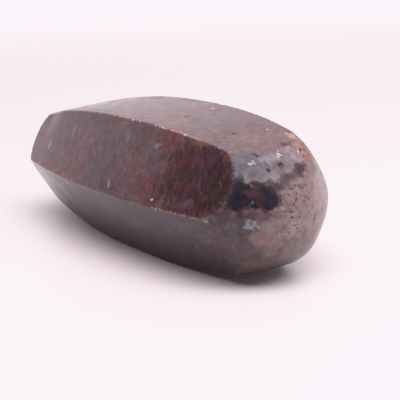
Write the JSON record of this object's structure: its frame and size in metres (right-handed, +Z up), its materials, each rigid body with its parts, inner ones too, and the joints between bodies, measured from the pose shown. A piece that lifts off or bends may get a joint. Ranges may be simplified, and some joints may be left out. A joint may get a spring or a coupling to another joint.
{
  "type": "ruby crystal",
  "caption": "Opaque ruby crystal: a six-sided barrel-shaped prism with worn domed ends, polished, lying on one prism face.",
  "frame": {"origin": "middle of the crystal's footprint, on the surface that it lies on", "axes": "+X along the crystal towards its blunter, pitted dome; +Z up; +Y across, away from the broad reddish face"},
  "size_m": [0.045, 0.0182, 0.0149],
  "materials": {
    "ruby": "polished opaque ruby, mottled maroon, grey and mauve, with dark inclusions and pale chips"
  },
  "bodies": {
    "root": {"ruby_crystal": "ruby"}
  },
  "joints": []
}
